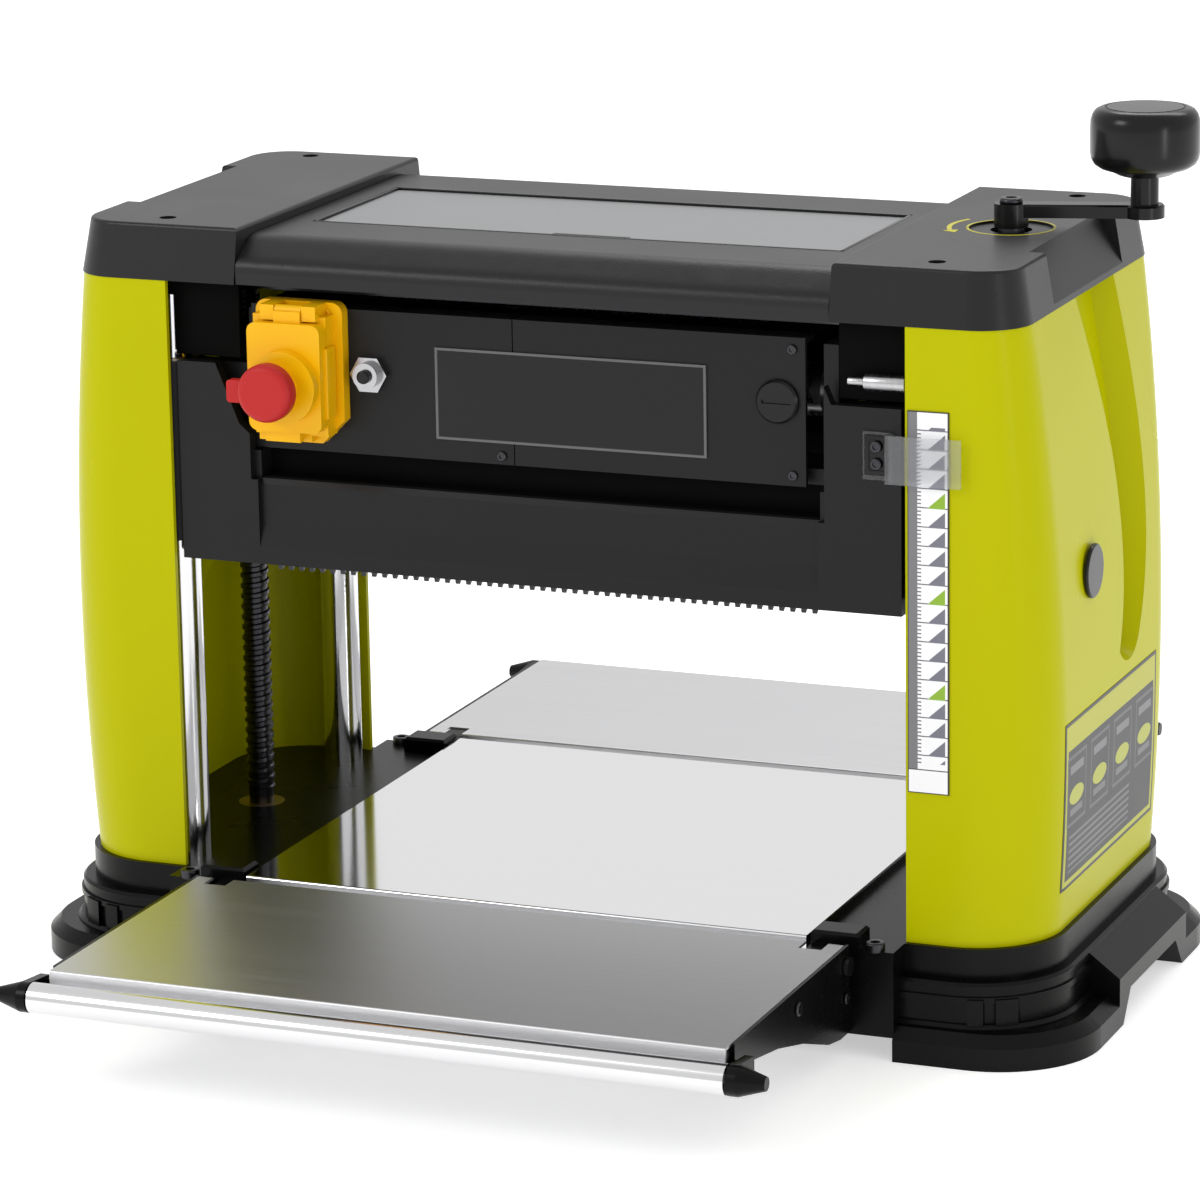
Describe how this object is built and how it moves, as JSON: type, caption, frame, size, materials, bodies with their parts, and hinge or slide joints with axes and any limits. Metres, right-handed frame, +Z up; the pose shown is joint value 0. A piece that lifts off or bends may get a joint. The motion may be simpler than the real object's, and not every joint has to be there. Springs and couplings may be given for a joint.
{
  "type": "thickness planer",
  "caption": "Benchtop thickness planer: a cutting head lifted by a top crank between two side columns, over a bed with folding infeed and outfeed tables.",
  "frame": {"origin": "on the bench, at the centre of the rectangle of bench bolt holes", "axes": "+X to the right column with the crank, +Y the way the board is fed, +Z up"},
  "size_m": [0.6193, 0.687, 0.475],
  "materials": {
    "cast_black": "semi-gloss black coating over die-cast aluminium",
    "lime_plastic": "glossy lime green moulded plastic",
    "black_plastic": "fine-textured black plastic",
    "gloss_black": "smooth black plastic",
    "stainless": "bright polished stainless sheet",
    "satin_steel": "satin stainless sheet",
    "chrome": "chromed steel",
    "dark_steel": "oiled dark steel",
    "machined_steel": "machined steel",
    "bronze": "sintered bronze",
    "copper_iron": "laminated steel",
    "roller_rubber": "black rubber",
    "tray_metal": "satin grey plate",
    "yellow_plastic": "glossy yellow plastic",
    "red_plastic": "satin red plastic",
    "green_plastic": "green plastic",
    "clear_plastic": "clear tinted plastic",
    "scale_white": "printed white film"
  },
  "bodies": {
    "frame": {"base_casting": "cast_black", "bed_plate": "stainless", "guide_posts": "chrome", "column_heads": "dark_steel", "cross_rails": "dark_steel", "left_side_panel": "lime_plastic", "right_side_panel": "lime_plastic", "left_top_cap": "black_plastic", "right_top_cap": "black_plastic", "top_cover": "black_plastic", "top_tray": "tray_metal", "cap_screws": "dark_steel", "scale_strip": "scale_white", "side_plugs": "gloss_black", "screw_bearings": "bronze", "sync_chain": "dark_steel", "table_hinge_pins": "dark_steel"},
    "right_screw": {"right_lead_screw": "dark_steel", "right_sprocket": "machined_steel", "crank_arm": "gloss_black"},
    "crank_grip": {"crank_knob": "gloss_black"},
    "left_screw": {"left_lead_screw": "dark_steel", "left_sprocket": "machined_steel"},
    "cutting_head": {"head_casting": "cast_black", "front_panel_left": "black_plastic", "front_panel_right": "black_plastic", "motor_housing": "machined_steel", "brush_caps": "gloss_black", "breaker_bushing": "chrome", "lift_nuts": "bronze", "guide_bushes": "bronze", "shaft_bearings": "machined_steel", "roller_blocks": "bronze", "rear_cover": "black_plastic", "dust_hood": "black_plastic", "belt_cover": "black_plastic", "gear_cover": "black_plastic", "switch_box": "yellow_plastic", "pointer": "clear_plastic", "cord_gland": "gloss_black", "pawl_rod": "machined_steel", "feed_chain": "dark_steel", "drive_belt": "roller_rubber"},
    "cutter": {"cutterhead": "machined_steel", "knives": "chrome"},
    "rotor": {"armature": "copper_iron"},
    "infeed_roller": {"infeed_feed_roller": "roller_rubber"},
    "outfeed_roller": {"outfeed_feed_roller": "roller_rubber"},
    "pawl_row": {"anti_kickback_pawls": "dark_steel"},
    "lid": {"switch_lid": "yellow_plastic"},
    "mushroom": {"stop_mushroom": "red_plastic"},
    "start_key": {"start_button": "green_plastic"},
    "stop_key": {"stop_button": "red_plastic"},
    "reset_key": {"reset_button": "gloss_black"},
    "infeed_table_body": {"infeed_table": "satin_steel", "infeed_table_rails": "cast_black"},
    "outfeed_table_body": {"outfeed_table": "satin_steel", "outfeed_table_rails": "cast_black"},
    "infeed_end_roller_body": {"infeed_end_roller": "chrome"},
    "outfeed_end_roller_body": {"outfeed_end_roller": "chrome"}
  },
  "joints": [
    {"name": "carriage_lift", "type": "slide", "parent": "frame", "child": "cutting_head", "axis": [0, 0, 1], "range_m": [-0.16, 0]},
    {"name": "crank_turn", "type": "hinge", "parent": "frame", "child": "right_screw", "pos_m": [0.222, 0.004, 0.2], "axis": [0, 0, 1], "range_deg": [-1, 9601]},
    {"name": "left_screw_turn", "type": "hinge", "parent": "frame", "child": "left_screw", "pos_m": [-0.222, 0.004, 0.2], "axis": [0, 0, 1], "range_deg": [-1, 9601]},
    {"name": "knob_spin", "type": "hinge", "parent": "right_screw", "child": "crank_grip", "pos_m": [0.2888, 0.02128, 0.45], "axis": [0, 0, 1], "continuous": true},
    {"name": "cutterhead_spin", "type": "hinge", "parent": "cutting_head", "child": "cutter", "pos_m": [0, 0.005, 0.251], "axis": [1, 0, 0], "continuous": true},
    {"name": "armature_spin", "type": "hinge", "parent": "cutting_head", "child": "rotor", "pos_m": [0, -0.066, 0.334], "axis": [1, 0, 0], "continuous": true},
    {"name": "infeed_feed_roller_spin", "type": "hinge", "parent": "cutting_head", "child": "infeed_roller", "pos_m": [0, -0.048, 0.246], "axis": [1, 0, 0], "continuous": true},
    {"name": "outfeed_feed_roller_spin", "type": "hinge", "parent": "cutting_head", "child": "outfeed_roller", "pos_m": [0, 0.058, 0.246], "axis": [1, 0, 0], "continuous": true},
    {"name": "pawl_swing", "type": "hinge", "parent": "cutting_head", "child": "pawl_row", "pos_m": [0, -0.106, 0.2365], "axis": [1, 0, 0], "range_deg": [0, 50]},
    {"name": "switch_lid_hinge", "type": "hinge", "parent": "cutting_head", "child": "lid", "pos_m": [-0.132, -0.128, 0.371], "axis": [-1, 0, 0], "range_deg": [0, 100]},
    {"name": "stop_slide", "type": "slide", "parent": "lid", "child": "mushroom", "axis": [0, 1, 0], "range_m": [0, 0.004], "stiffness_N_per_m": 400, "springref_m": -0.004},
    {"name": "start_push", "type": "slide", "parent": "cutting_head", "child": "start_key", "axis": [0, 1, 0], "range_m": [0, 0.003], "stiffness_N_per_m": 300, "springref_m": -0.003},
    {"name": "stop_push", "type": "slide", "parent": "cutting_head", "child": "stop_key", "axis": [0, 1, 0], "range_m": [0, 0.003], "stiffness_N_per_m": 300, "springref_m": -0.003},
    {"name": "reset_push", "type": "slide", "parent": "cutting_head", "child": "reset_key", "axis": [0, 1, 0], "range_m": [0, 0.003], "stiffness_N_per_m": 300, "springref_m": -0.003},
    {"name": "infeed_table_fold", "type": "hinge", "parent": "frame", "child": "infeed_table_body", "pos_m": [0, -0.157, 0.053], "axis": [-1, 0, 0], "range_deg": [0, 90]},
    {"name": "outfeed_table_fold", "type": "hinge", "parent": "frame", "child": "outfeed_table_body", "pos_m": [0, 0.157, 0.053], "axis": [1, 0, 0], "range_deg": [0, 90]},
    {"name": "infeed_end_roller_spin", "type": "hinge", "parent": "infeed_table_body", "child": "infeed_end_roller_body", "pos_m": [0, -0.3355, 0.051], "axis": [1, 0, 0], "continuous": true},
    {"name": "outfeed_end_roller_spin", "type": "hinge", "parent": "outfeed_table_body", "child": "outfeed_end_roller_body", "pos_m": [0, 0.3355, 0.051], "axis": [1, 0, 0], "continuous": true}
  ],
  "couplings": [
    {"joint": "crank_turn", "follows": "carriage_lift", "rad_per_m": -1047.2},
    {"joint": "left_screw_turn", "follows": "carriage_lift", "rad_per_m": -1047.2},
    {"joint": "armature_spin", "follows": "cutterhead_spin", "ratio": 1.6},
    {"joint": "infeed_feed_roller_spin", "follows": "cutterhead_spin", "ratio": -0.008},
    {"joint": "outfeed_feed_roller_spin", "follows": "cutterhead_spin", "ratio": -0.008}
  ]
}
